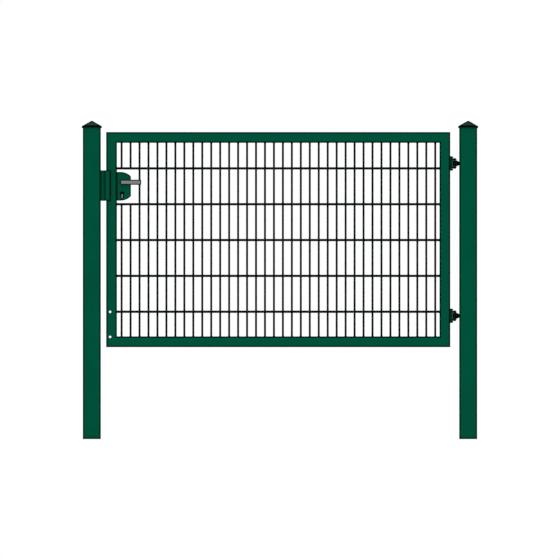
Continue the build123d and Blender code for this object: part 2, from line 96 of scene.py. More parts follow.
def length_property(name, description, default_mm):
    """A length kept in metres, with its default given in millimetres."""
    return bpy.props.FloatProperty(
        name=name, description=description, default=default_mm * MM, min=0.0, precision=4, unit="LENGTH")


def colour_property(name, description, code):
    """A colour kept as linear values, with its default given as an sRGB hex code."""
    return bpy.props.FloatVectorProperty(
        name=name, description=description, default=linear(code), size=3, min=0.0, max=1.0, subtype="COLOR")


class GateSizes(bpy.types.PropertyGroup):
    """Sizes of the pieces that dress the gate."""

    upright_rod: length_property("Upright rod", "Diameter of an upright rod with its coat", 11.7)
    upright_pitch: length_property("Upright pitch", "Distance between upright rods", 50.0)
    level_rod: length_property("Level rod", "Diameter of a level rod with its coat", 13.6)
    level_pitch: length_property("Level pitch", "Distance between pairs of level rods", 200.0)
    first_level: length_property("First level", "Top of the leaf to the first pair of level rods", 202.5)
    rod_offset: length_property("Rod offset", "Middle of a level rod from the middle of the mat", 11.2)
    mat_shift: length_property("Mat shift", "How far the mat stands from the middle, to the hinges", 1.2)
    cut_stub: length_property("Cut stub", "How far a cut rod stands past the last rod it crosses", 6.0)
    window_clearance: length_property("Window clearance", "Space between the lock case and a rod", 5.0)
    weld_bead: length_property("Weld bead", "Width of the ground weld along a mitre", 5.0)
    hole_bead: length_property("Hole bead", "How far the coat narrows the drop bolt's holes", 1.2)
    cap_bulge: length_property("Cap bulge", "How far the cap's rim swells", 1.6)
    cap_hip: length_property("Cap hip", "Corner radius of the cap's rim", 7.0)
    screw_head: length_property("Screw head", "Diameter of the hinge plates' screw heads", 10.0)
    sunk_head: length_property("Sunk head", "Diameter of the lock's countersunk screw heads", 8.0)
    eye_sleeve: length_property("Eye sleeve", "How far the sleeve stands past the hinge's eye", 1.35)
    neck_depth: length_property("Neck depth", "Depth of the flat neck between the eye and the post", 15.2)
    neck_start: length_property("Neck start", "Height of the flat neck at the eye", 34.0)
    neck_end: length_property("Neck end", "Height of the flat neck at the post", 19.0)
    lever_corner: length_property("Lever corner", "Corner radius of the lever's section", 5.0)
    lever_height: length_property("Lever height", "Height of the lever's bar", 29.0)
    lever_thickness: length_property("Lever thickness", "Thickness of the lever's bar", 12.0)
    lever_swell: length_property("Lever swell", "How far the lever's end stands past the packed lever", 2.5)
    lever_neck: length_property("Lever neck", "Radius of the neck that carries the lever's bar", 9.0)
    keyway: length_property("Keyway", "Width of the bright strip below the lock cylinder's axis", 4.6)
    # Edge band: width of the painted shade along a tube's edges
    edge_shade_band: length_property("Edge band", "Width of the darker coat along a tube's edges", 8.0)


class GateColours(bpy.types.PropertyGroup):
    """Colours of the gate's finishes."""

    coat: colour_property("Coat", "Moss green powder coat", "#024F39")
    # Coat edge: painted shade on the tubes' corners, along the outlines of their faces and in joints
    coat_edge_shade: colour_property("Coat edge", "Powder coat along the tubes' corners", "#001A12")
    rods: colour_property("Rods", "Coat of the mat's rods", "#0E1E18")
    # Rod ends: painted shade on the rods and welds wherever they turn away from X, Y and Z
    rods_edge_shade: colour_property("Rod ends", "Coat of the mat's welds and cut ends", "#060D0B")
    hinges: colour_property("Hinges", "Coat of the hinges", "#0A2A1F")
    # Hinge edge: painted shade along the hinges' edges, and the whole colour of the hinge necks
    hinges_dark_and_edge_shade: colour_property("Hinge edge", "Coat along the hinges' edges", "#020806")
    cap_roof: colour_property("Cap roof", "Moulded caps, on their sloped faces", "#1E4035")
    # Cap rim: painted shade on the caps' rim and hips
    cap_rim_and_hip_shade: colour_property("Cap rim", "Moulded caps, on the rim and the hips", "#010A07")
    zinc: colour_property("Zinc", "Zinc plated steel", "#A9ACAE")
    nickel: colour_property("Nickel", "Nickel plated cylinder", "#8C9993")
    handle: colour_property("Handle", "Satin anodised aluminium", "#7F8683")
    # Handle edge: painted shade along the lever's outline
    handle_edge_shade: colour_property("Handle edge", "Anodised aluminium along its edges", "#141716")
    plastic: colour_property("Plastic", "Black moulded plastic", "#0A0C0B")
    rubber: colour_property("Rubber", "Black moulded rubber", "#0C0E0D")
    floor: colour_property("Floor", "Pale studio floor", "#F8F8F6")


def build(name, stacks):
    """A mesh from stacks of rings. A stack is an array of solids by rings by points by three.

    Neighbouring rings are joined by quads. A stack whose last ring repeats its first is a closed loop.
    Any other stack has its first and last ring closed by one face each. Rings turn to the right about the
    way that they follow, which makes every face point outwards.
    """
    points, corners, totals, count = [], [], [], 0
    for stack in stacks:
        looped = np.allclose(stack[:, 0], stack[:, -1])
        stack = stack[:, :-1] if looped else stack
        index = np.arange(stack[..., 0].size).reshape(stack.shape[:3]) + count
        following = np.roll(index, -1, axis=1) if looped else index[:, 1:]
        leading = index if looped else index[:, :-1]
        quads = np.stack([leading, np.roll(leading, -1, 2), np.roll(following, -1, 2), following], axis=-1)
        corners.append(quads.ravel())
        totals.append(np.full(quads[..., 0].size, 4))
        if not looped:
            ends = np.stack([index[:, 0, ::-1], index[:, -1]])
            corners.append(ends.ravel())
            totals.append(np.full(ends[..., 0].size, ends.shape[-1]))
        points.append(stack.reshape(-1, 3))
        count += stack[..., 0].size
    corners = np.concatenate(corners).astype(np.int32)
    totals = np.concatenate(totals).astype(np.int32)
    starts = np.concatenate([[0], np.cumsum(totals)[:-1]]).astype(np.int32)
    mesh = bpy.data.meshes.new(name)
    mesh.vertices.add(count)
    mesh.vertices.foreach_set("co", np.concatenate(points).astype(np.float32).ravel())
    mesh.loops.add(len(corners))
    mesh.loops.foreach_set("vertex_index", corners)
    mesh.polygons.add(len(totals))
    mesh.polygons.foreach_set("loop_start", starts)
    mesh.update(calc_edges=True)
    if mesh.validate():
        raise RuntimeError(name + " has faces that Blender can't use")
    return mesh


def add_piece(name, stacks, body, slot, finish=None, smooth_degrees=40.0):
    """Adds a piece on a body, in a slot, with the slot's material or the finish that is named."""
    mesh = build(name, stacks)
    mesh.materials.append(FINISHES[finish or slot])
    mesh.shade_smooth()
    mesh.set_sharp_from_angle(angle=math.radians(smooth_degrees))
    piece = bpy.data.objects.new(name, mesh)
    bpy.context.scene.collection.objects.link(piece)
    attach(piece, body)
    return piece


def turned(bases, axis, along, radii, sides, direction=1):
    """Turned solids: ring r stands along[r] from its base on an axis and has the radius radii[r].

    Point s of a ring is base + along * axis + radius * (cos(a) u + sin(a) v), with u, v the two axes that
    follow the ring's own and a = 2 pi (s + 1/2) / sides. A direction of -1 turns the solid the other way.
    """
    bases = np.atleast_2d(np.asarray(bases, float))
    along, radii = np.broadcast_arrays(np.asarray(along, float), np.asarray(radii, float))
    angles = direction * 2 * np.pi * (np.arange(sides) + 0.5) / sides
    points = np.empty((len(bases), along.shape[-1], sides, 3))
    points[...] = bases[:, None, None, :]
    points[..., axis] += direction * along[..., :, None]
    points[..., (axis + 1) % 3] += radii[..., :, None] * np.cos(angles)
    points[..., (axis + 2) % 3] += radii[..., :, None] * np.sin(angles)
    return points


def rounded(base, axis, along, half_u, half_v, corner, steps):
    """Rounded rectangles carried along an axis: ring r has half sides half_u[r], half_v[r] and corner[r].

    Point s of a ring is base + along * axis + (su (half_u - corner) + corner cos(a)) u
    + (sv (half_v - corner) + corner sin(a)) v, with a going round once and su, sv the signs of its quarter.
    """
    rings = np.broadcast_arrays(*[np.asarray(part, float) for part in (along, half_u, half_v, corner)])
    along, half_u, half_v, corner = [ring[:, None] for ring in rings]
    quarters = np.arange(4)[:, None] * np.pi / 2 + np.linspace(0, np.pi / 2, steps)
    angles = quarters.ravel()
    sign_u = np.repeat([1, -1, -1, 1], steps)
    sign_v = np.repeat([1, 1, -1, -1], steps)
    points = np.empty((1, len(along), len(angles), 3))
    points[...] = np.asarray(base, float)
    points[0, ..., axis] += along
    points[0, ..., (axis + 1) % 3] += sign_u * (half_u - corner) + corner * np.cos(angles)
    points[0, ..., (axis + 2) % 3] += sign_v * (half_v - corner) + corner * np.sin(angles)
    return points


def beads(starts, ends, outward, width, height, pitch, sides=12):
    """Weld beads from starts to ends: a low arch over a sunk foot, with ripples along it and thin ends.

    At the share t of the length, point s is line(t) + width / 2 cos(a) e(t) across + h sin(a) e(t) outward.
    There h is height (1 + 0.3 cos(2 pi length t / pitch)) above the surface and half of that below it, and
    e(t) = sqrt(1 - (2 t - 1)^8), or a seventh where that is more, draws the ends in.
    """
    starts, ends, outward = [np.asarray(part, float) for part in (starts, ends, outward)]
    lengths = np.linalg.norm(ends - starts, axis=1)
    directions = (ends - starts) / lengths[:, None]
    across = np.cross(outward, directions)
    rings_a_ripple = 6
    shares = np.linspace(0, 1, int(rings_a_ripple * lengths.max() / pitch))
    angles = 2 * np.pi * np.arange(sides) / sides
    ends_in = np.sqrt(np.clip(1 - (2 * shares - 1) ** 8, 0.02, 1))
    ripple = 1 + 0.3 * np.cos(2 * np.pi * lengths[:, None] * shares / pitch)
    lift = np.where(np.sin(angles) > 0, 1.0, 0.5) * np.sin(angles)
    line = starts[:, None, :] + (ends - starts)[:, None, :] * shares[None, :, None]
    side = width / 2 * np.cos(angles)[None, None, :] * ends_in[None, :, None]
    rise = height * lift[None, None, :] * (ripple * ends_in)[:, :, None]
    return (line[:, :, None, :] + side[..., None] * across[:, None, None, :]
            + rise[..., None] * outward[:, None, None, :])


def upright_places(sizes):
    """Middles of the upright rods along X: a pitch apart, and shifted a little from the frame's middle."""
    span = MAT[1].x - MAT[0].x
    rounding = 1e-6
    count = int(span / sizes.upright_pitch + rounding)
    margin = (span - (count - 1) * sizes.upright_pitch) / 2 + sizes.mat_shift
    return MAT[0].x + margin + np.arange(count) * sizes.upright_pitch


def level_heights(sizes):
    """Heights of the level rods: a pitch apart, counted down from the first pair."""
    first = LEAF_TOP - sizes.first_level
    count = int((first - MAT[0].z) / sizes.level_pitch) + 1
    return first - np.arange(count) * sizes.level_pitch


def upright_runs(sizes):
    """Middles, lower ends and upper ends of the upright rods, which are cut away beside the lock case."""
    places, levels = upright_places(sizes), level_heights(sizes)
    case_right = LOCK_CASE[1].x + sizes.window_clearance + sizes.upright_rod / 2
    cut = places < case_right
    below = levels[levels < LOCK_CASE[0].z].max() + sizes.cut_stub
    above = levels[levels > LOCK_CASE[1].z].min() - sizes.cut_stub
    whole, short = places[~cut], places[cut]
    low, high = MAT[0].z, MAT[1].z
    counts = [len(whole), len(short), len(short)]
    middles = np.concatenate([whole, short, short])
    return middles, np.repeat([low, low, above], counts), np.repeat([high, below, high], counts)


def bars(bases, axis, lengths, radius, sides=16):
    """Round bars from their bases, with a small bevel at each end."""
    bevel = radius / 6
    along = np.stack([0 * lengths, 0 * lengths + bevel, lengths - bevel, lengths], axis=1)
    return turned(bases, axis, along, [radius - bevel, radius, radius, radius - bevel], sides)


# Materials. A Mix node's colours are its sockets 6 and 7, and its result is output 2.
# Grain and orange peel are too fine to show at their real size, so they are drawn coarser.


def add_node(tree, kind, inputs=None, **settings):
    """Adds a node, makes its settings, and sets or links its inputs by name or number.

    An input is a value, another node's output, or another node, which then gives its first output.
    """
    node = tree.nodes.new(kind)
    for key, value in settings.items():
        setattr(node, key, value)
    for key, value in (inputs or {}).items():
        source = value.outputs[0] if isinstance(value, bpy.types.Node) else value
        if isinstance(source, bpy.types.NodeSocket):
            tree.links.new(source, node.inputs[key])
        else:
            node.inputs[key].default_value = source
    return node


def new_material(name, **sockets):
    """An empty material with its shader, whose constant sockets are set by name."""
    material = bpy.data.materials.new(name)
    material.use_nodes = True
    tree = material.node_tree
    tree.nodes.clear()
    shader = add_node(tree, "ShaderNodeBsdfPrincipled", {
        key.replace("_", " ").title().replace("Ior", "IOR"): value for key, value in sockets.items()})
    add_node(tree, "ShaderNodeOutputMaterial", {"Surface": shader})
    return material, tree, shader


def rgba(colour):
    """A colour property as the four numbers of a colour socket."""
    return (*colour, 1.0)


def corner_shade(tree, place):
    """Share of painted shade from the surface's turn: corners and bevels are darkened as shade.

    The largest part of the normal is 1 on a face that looks along X, Y or Z, and less on a bevel.
    """
    on_face, on_bevel = 0.998, 0.96
    turn = add_node(tree, "ShaderNodeVectorMath", {0: place.outputs["Normal"]}, operation="ABSOLUTE")
    parts = add_node(tree, "ShaderNodeSeparateXYZ", {0: turn})
    level = add_node(tree, "ShaderNodeMath", {
        0: parts.outputs["X"], 1: parts.outputs["Y"]}, operation="MAXIMUM")
    main_part = add_node(tree, "ShaderNodeMath", {0: level, 1: parts.outputs["Z"]}, operation="MAXIMUM")
    return add_node(tree, "ShaderNodeMapRange", {0: main_part, 1: on_face, 2: on_bevel})


def edge_shade_line(tree, place, space, band):
    """Share of painted shade on front and back faces, from the distance to their edges.

    It is one within a band of an edge, and fades out where the surface turns away from Y.
    """
    side_turn, front_turn = 0.1, 0.4
    line = add_node(tree, "ShaderNodeMapRange", {0: space, 1: 1.2 * band, 2: 0.8 * band})
    turn = add_node(tree, "ShaderNodeVectorMath", {0: place.outputs["Normal"]}, operation="ABSOLUTE")
    parts = add_node(tree, "ShaderNodeSeparateXYZ", {0: turn})
    facing = add_node(tree, "ShaderNodeMapRange", {0: parts.outputs["Y"], 1: side_turn, 2: front_turn})
    return add_node(tree, "ShaderNodeMath", {0: line, 1: facing}, operation="MULTIPLY")


def box_edge_shade(low, high, band, face=1.0):
    """Share of painted shade from the distance to the outline of a box, or of a frame with bars a face wide.

    The outline's low and high corners are given as x and z. With i the distance inside it on each axis,
    the distance to an edge is the smaller of i.x and i.z, folded back at half the face. A face of 1 m is
    wide enough to fold nothing.
    """
    middle = (np.array(low) + np.array(high)) / 2
    half = (np.array(high) - np.array(low)) / 2

    def share(tree, place):
        gap = add_node(tree, "ShaderNodeVectorMath", {
            0: place.outputs["Object"], 1: (middle[0], 0.0, middle[1])}, operation="SUBTRACT")
        away = add_node(tree, "ShaderNodeVectorMath", {0: gap}, operation="ABSOLUTE")
        inside = add_node(tree, "ShaderNodeVectorMath", {
            0: (half[0], 0.0, half[1]), 1: away}, operation="SUBTRACT")
        parts = add_node(tree, "ShaderNodeSeparateXYZ", {0: inside})
        plan = add_node(tree, "ShaderNodeMath", {
            0: parts.outputs["X"], 1: parts.outputs["Z"]}, operation="MINIMUM")
        across = add_node(tree, "ShaderNodeMath", {0: plan, 1: face / 2}, operation="PINGPONG")
        return edge_shade_line(tree, place, across, band)

    return share


def case_edge_shade(band):
    """Share of painted shade from the distance to the lock case's curved outline.

    The outline is an arc about the case's middle height, of half its height, that starts a flat from the
    stile and ends at the case's right side. With x counted from the end of the flat, the distance is the
    smaller of radius - |(max(x, 0), z)| and right - x. Shade is painted in the joint with the stile too,
    half as wide: there the distance is x + flat and half a band.
    """
    flat = 20 * MM
    radius = (LOCK_CASE[1].z - LOCK_CASE[0].z) / 2
    start = LOCK_STILE[1].x + flat

    def share(tree, place):
        gap = add_node(tree, "ShaderNodeVectorMath", {
            0: place.outputs["Object"], 1: (start, 0.0, LOCK_MIDDLE)}, operation="SUBTRACT")
        right = add_node(tree, "ShaderNodeVectorMath", {0: gap, 1: (0.0, -1.0, -1.0)}, operation="MAXIMUM")
        level = add_node(tree, "ShaderNodeVectorMath", {0: right, 1: (1.0, 0.0, 1.0)}, operation="MULTIPLY")
        reach = add_node(tree, "ShaderNodeVectorMath", {0: level}, operation="LENGTH")
        round_space = add_node(tree, "ShaderNodeMath", {
            0: radius, 1: reach.outputs["Value"]}, operation="SUBTRACT")
        parts = add_node(tree, "ShaderNodeSeparateXYZ", {0: gap})
        side_space = add_node(tree, "ShaderNodeMath", {
            0: LOCK_CASE[1].x - start, 1: parts.outputs["X"]}, operation="SUBTRACT")
        outline = add_node(tree, "ShaderNodeMath", {0: round_space, 1: side_space}, operation="MINIMUM")
        joint_space = add_node(tree, "ShaderNodeMath", {
            0: parts.outputs["X"], 1: flat + band / 2}, operation="ADD")
        space = add_node(tree, "ShaderNodeMath", {0: outline, 1: joint_space}, operation="MINIMUM")
        return edge_shade_line(tree, place, space, band)

    return share


def powder_coat(name, face, edge, edges=corner_shade, peel_mm=4.0, cloud_mm=160.0):
    """Polyester powder coat, sprayed on steel and baked: even colour, a faint orange peel and a satin skin.

    Shade is painted into the coat along the edges: on the corners, along the outlines of faces and in joints
    between parts.
    """
    material, tree, shader = new_material(name, roughness=0.55, specular_ior_level=0.0)
    place = add_node(tree, "ShaderNodeTexCoord")
    pattern = add_node(tree, "ShaderNodeMapping", {"Vector": place.outputs["Object"]})
    clouds = add_node(tree, "ShaderNodeTexNoise", {
        "Vector": pattern, "Scale": 1 / (cloud_mm * MM), "Detail": 4.0, "Roughness": 0.6})
    shade = add_node(tree, "ShaderNodeMapRange", {0: clouds, 1: NOISE_LOW, 2: NOISE_HIGH, 3: 0.94, 4: 1.05})
    tinted = add_node(tree, "ShaderNodeVectorMath", {0: face, 1: shade}, operation="MULTIPLY")
    # The edge colour is painted shade, mixed in by the edges mask
    colour = add_node(tree, "ShaderNodeMix", {
        0: edges(tree, place), 6: tinted, 7: rgba(edge)}, data_type="RGBA")
    tree.links.new(colour.outputs[2], shader.inputs["Base Color"])
    peel = add_node(tree, "ShaderNodeTexNoise", {
        "Vector": pattern, "Scale": 1 / (peel_mm * MM), "Detail": 2.0, "Roughness": 0.5})
    bump = add_node(tree, "ShaderNodeBump", {"Height": peel, "Strength": 0.25, "Distance": 0.2 * MM})
    tree.links.new(bump.outputs[0], shader.inputs["Normal"])
    return material


def cap_plastic(colours, roof_z, band):
    """Moulded polyamide: matt, with a fine grain. The rim, and the hips where two slopes meet, are painted darker,
    as shade.

    Both caps fold onto one by their distance from the gate's middle. A hip is where the distances from the
    cap's middle along X and Y are alike. It is dark mostly on the front and back slopes, and a quarter as
    wide on the side slopes. The rim is dark to just above the eaves, and a little less so at its foot.
    """
    hip_full, hip_end, side_narrowing = 1.2 * band, 1.7 * band, 4.0
    rim_full, rim_end = roof_z + 4.5 * MM, roof_z + 8.0 * MM
    foot_low, foot_high, foot_share = roof_z - 5.0 * MM, roof_z - 2.0 * MM, 0.65
    grain_size = 1.5 * MM
    material, tree, shader = new_material("moulded polyamide cap", roughness=0.6, specular_ior_level=0.0)
    place = add_node(tree, "ShaderNodeTexCoord")
    pattern = add_node(tree, "ShaderNodeMapping", {"Vector": place.outputs["Object"]})
    gap = add_node(tree, "ShaderNodeVectorMath", {
        0: place.outputs["Object"], 1: (GATE_MIDDLE, 0.0, 0.0)}, operation="SUBTRACT")
    folded = add_node(tree, "ShaderNodeVectorMath", {0: gap}, operation="ABSOLUTE")
    offset = add_node(tree, "ShaderNodeVectorMath", {
        0: folded, 1: (-GATE_MIDDLE, 0.0, 0.0)}, operation="SUBTRACT")
    away = add_node(tree, "ShaderNodeVectorMath", {0: offset}, operation="ABSOLUTE")
    parts = add_node(tree, "ShaderNodeSeparateXYZ", {0: away})
    apart = add_node(tree, "ShaderNodeMath", {
        0: parts.outputs["X"], 1: parts.outputs["Y"]}, operation="SUBTRACT")
    front = add_node(tree, "ShaderNodeMath", {0: apart, 1: -1.0}, operation="MULTIPLY")
    side = add_node(tree, "ShaderNodeMath", {0: apart, 1: side_narrowing}, operation="MULTIPLY")
    space = add_node(tree, "ShaderNodeMath", {0: front, 1: side}, operation="MAXIMUM")
    hip = add_node(tree, "ShaderNodeMapRange", {0: space, 1: hip_end, 2: hip_full})
    height = parts.outputs["Z"]
    rim = add_node(tree, "ShaderNodeMapRange", {0: height, 1: rim_end, 2: rim_full})
    foot = add_node(tree, "ShaderNodeMapRange", {0: height, 1: foot_low, 2: foot_high, 3: foot_share})
    band_share = add_node(tree, "ShaderNodeMath", {0: rim, 1: foot}, operation="MULTIPLY")
    # Painted shade on the rim and the hips
    dark = add_node(tree, "ShaderNodeMath", {0: hip, 1: band_share}, operation="MAXIMUM")
    colour = add_node(tree, "ShaderNodeMix", {
        0: dark, 6: rgba(colours.cap_roof), 7: rgba(colours.cap_rim_and_hip_shade)}, data_type="RGBA")
    tree.links.new(colour.outputs[2], shader.inputs["Base Color"])
    grain = add_node(tree, "ShaderNodeTexNoise", {
        "Vector": pattern, "Scale": 1 / grain_size, "Detail": 2.0})
    bump = add_node(tree, "ShaderNodeBump", {"Height": grain, "Strength": 0.3, "Distance": 0.2 * MM})
    tree.links.new(bump.outputs[0], shader.inputs["Normal"])
    return material


def cylinder_head_shade(width):
    """Share of painted shade on the lock cylinder: none on a strip below the plug's axis, and one beside it.

    With x and z counted from the axis, the strip is where both |x| and z + width are below width / 2.
    """
    low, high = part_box("lock_cylinder")
    axis = ((low.x + high.x) / 2, 0.0, high.z - (high.x - low.x) / 2)
    soft = 0.4 * MM

    def share(tree, place):
        gap = add_node(tree, "ShaderNodeVectorMath", {
            0: place.outputs["Object"], 1: axis}, operation="SUBTRACT")
        parts = add_node(tree, "ShaderNodeSeparateXYZ", {0: gap})
        side = add_node(tree, "ShaderNodeMath", {0: parts.outputs["X"]}, operation="ABSOLUTE")
        rise = add_node(tree, "ShaderNodeMath", {0: parts.outputs["Z"], 1: width}, operation="ADD")
        reach = add_node(tree, "ShaderNodeMath", {0: side, 1: rise}, operation="MAXIMUM")
        return add_node(tree, "ShaderNodeMapRange", {
            0: reach, 1: width / 2 - soft, 2: width / 2 + soft})

    return share


def brushed_metal(name, face, edge, grain_mm, stretch, roughness, edges=corner_shade):
    """Rolled or plated metal with a fine grain along one direction, and painted shade mixed in by its edges mask.

    The grain is noise stretched by a Mapping node, which shades the colour and the roughness a little.
    """
    material, tree, shader = new_material(name, metallic=1.0)
    place = add_node(tree, "ShaderNodeTexCoord")
    pattern = add_node(tree, "ShaderNodeMapping", {"Vector": place.outputs["Object"], "Scale": stretch})
    grain = add_node(tree, "ShaderNodeTexNoise", {
        "Vector": pattern, "Scale": 1 / (grain_mm * MM), "Detail": 3.0, "Roughness": 0.6})
    shade = add_node(tree, "ShaderNodeMapRange", {0: grain, 1: NOISE_LOW, 2: NOISE_HIGH, 3: 0.9, 4: 1.08})
    tinted = add_node(tree, "ShaderNodeVectorMath", {0: face, 1: shade}, operation="MULTIPLY")
    # The edge colour is painted shade, mixed in by the edges mask
    colour = add_node(tree, "ShaderNodeMix", {
        0: edges(tree, place), 6: tinted, 7: rgba(edge)}, data_type="RGBA")
    tree.links.new(colour.outputs[2], shader.inputs["Base Color"])
    dull = add_node(tree, "ShaderNodeMapRange", {
        0: grain, 1: NOISE_LOW, 2: NOISE_HIGH, 3: roughness - 0.06, 4: roughness + 0.08})
    tree.links.new(dull.outputs[0], shader.inputs["Roughness"])
    return material


def moulded(name, face, grain_mm, roughness):
    """A moulded black part: matt, with a fine spark-eroded grain from its mould."""
    material, tree, shader = new_material(name, specular_ior_level=0.0)
    place = add_node(tree, "ShaderNodeTexCoord")
    pattern = add_node(tree, "ShaderNodeMapping", {"Vector": place.outputs["Object"]})
    grain = add_node(tree, "ShaderNodeTexNoise", {
        "Vector": pattern, "Scale": 1 / (grain_mm * MM), "Detail": 3.0})
    shade = add_node(tree, "ShaderNodeMapRange", {0: grain, 1: NOISE_LOW, 2: NOISE_HIGH, 3: 0.85, 4: 1.15})
    tinted = add_node(tree, "ShaderNodeVectorMath", {0: face, 1: shade}, operation="MULTIPLY")
    tree.links.new(tinted.outputs[0], shader.inputs["Base Color"])
    dull = add_node(tree, "ShaderNodeMapRange", {
        0: grain, 1: NOISE_LOW, 2: NOISE_HIGH, 3: roughness - 0.05, 4: roughness + 0.05})
    tree.links.new(dull.outputs[0], shader.inputs["Roughness"])
    bump = add_node(tree, "ShaderNodeBump", {"Height": grain, "Strength": 0.3, "Distance": 0.1 * MM})
    tree.links.new(bump.outputs[0], shader.inputs["Normal"])
    return material


class GATE_OT_finishes(bpy.types.Operator):
    """Makes the gate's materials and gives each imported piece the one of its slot"""

    bl_idname = "gate.finishes"
    bl_label = "Finishes"

    def execute(self, context):
        colours, sizes = context.scene.gate_colours, context.scene.gate_sizes
        # Small pieces have narrower bands of painted shade than the tubes
        band = sizes.edge_shade_band
        lever_half = sizes.lever_height / 2
        # Painted shade along the lever's outline
        lever = box_edge_shade(
            (FRONT_LEVER[0].x, LEVER_AXIS_Z - lever_half),
            (FRONT_LEVER[1].x + sizes.lever_swell, LEVER_AXIS_Z + lever_half), 0.75 * band)
        # The keeper gets painted shade at its head and foot, and none where it meets the post and the strike plate
        keeper_left = KEEPER[0].x - 2 * band
        # Painted shade on the zinc parts' bevels, at half the zinc's colour
        zinc_edge_shade = colours.zinc * 0.5
        coats = {
            "green_coat": corner_shade,
            "leaf_coat": box_edge_shade((LEAF_LEFT, LEAF_BOTTOM), (LEAF_RIGHT, LEAF_TOP), band, FRAME_FACE),
            "keeper_coat": box_edge_shade((keeper_left, KEEPER[0].z), (LEAF_LEFT, KEEPER[1].z), 0.5 * band),
            "strike_coat": box_edge_shade(STRIKE[0].xz, STRIKE[1].xz, 0.7 * band),
            "case_coat": case_edge_shade(0.85 * band),
            "latch_post_coat": box_edge_shade(LATCH_POST[0].xz, LATCH_POST[1].xz, band),
            "hinge_post_coat": box_edge_shade(HINGE_POST[0].xz, HINGE_POST[1].xz, band)}
        FINISHES.update({
            slot: powder_coat("moss green powder coat, " + slot, colours.coat, colours.coat_edge_shade, edges)
            for slot, edges in coats.items()})
        FINISHES.update({
            "weld_coat": powder_coat("moss green coat on welds", colours.coat, colours.coat),
            "rod_coat": powder_coat(
                "dark green rod coat", colours.rods, colours.rods_edge_shade, peel_mm=3.0, cloud_mm=90.0),
            "hinge_coat": powder_coat(
                "dark hinge coat", colours.hinges, colours.hinges_dark_and_edge_shade, peel_mm=3.0, cloud_mm=30.0),
            # The necks are coated whole in the hinges' dark edge colour
            "neck_coat": powder_coat(
                "black coat on the hinge necks", colours.hinges_dark_and_edge_shade, colours.hinges_dark_and_edge_shade,
                peel_mm=3.0, cloud_mm=30.0),
            "cap_plastic": cap_plastic(colours, HINGE_POST[1].z, band),
            "bright_steel": brushed_metal(
                "zinc plated steel", colours.zinc, zinc_edge_shade,
                grain_mm=2.5, stretch=(1.0, 1.0, 0.15), roughness=0.38),
            # The cylinder takes the black plastic colour as painted shade, all but a strip below the plug's axis
            "cylinder_metal": brushed_metal(
                "nickel plated brass", colours.nickel, colours.plastic,
                grain_mm=1.5, stretch=(1.0, 0.2, 1.0), roughness=0.3, edges=cylinder_head_shade(sizes.keyway)),
            "lever_metal": brushed_metal(
                "satin anodised aluminium", colours.handle, colours.handle_edge_shade,
                grain_mm=1.5, stretch=(0.1, 1.0, 1.0), roughness=0.42, edges=lever),
            "escutcheon_plastic": moulded("black polyamide", colours.plastic, grain_mm=1.2, roughness=0.5),
            "buffer_rubber": moulded("black moulded rubber", colours.rubber, grain_mm=2.0, roughness=0.8),
        })
        own_coats = {
            "lock_stile": "leaf_coat", "hinge_stile": "leaf_coat", "top_rail": "leaf_coat",
            "bottom_rail": "leaf_coat", "keeper_block": "keeper_coat", "strike_plate": "strike_coat",
            "lock_case": "case_coat", "latch_post": "latch_post_coat", "hinge_post": "hinge_post_coat"}
        for row in frame["record"]["subparts"]:
            finish = FINISHES[own_coats.get(row["node"], row["material_slot"])]
            node = frame["nodes"][row["node"]]
            if not node.material_slots:
                node.data.materials.append(finish)
            for place in node.material_slots:
                place.material = finish
        return {"FINISHED"}


class GATE_OT_mat(bpy.types.Operator):
    """Makes the round rods of the double-rod mat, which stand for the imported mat"""

    bl_idname = "gate.mat"
    bl_label = "Rod mat"

    def execute(self, context):
        sizes = context.scene.gate_sizes
        middles, lower, upper = upright_runs(sizes)
        bases = np.stack([middles, 0 * middles, lower], axis=1)
        uprights = bars(bases, 2, upper - lower, sizes.upright_rod / 2)
        levels = np.repeat(level_heights(sizes), 2)
        depths = np.tile([-sizes.rod_offset, sizes.rod_offset], len(levels) // 2)
        bases = np.stack([np.full(len(levels), MAT[0].x), depths, levels], axis=1)
        spans = np.full(len(levels), MAT[1].x - MAT[0].x)
        level_rods = bars(bases, 0, spans, sizes.level_rod / 2)
        mat = add_piece("mat_rods", [uprights, level_rods], "leaf", "rod_coat")
        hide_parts("rod_mat")
        return {"FINISHED"}


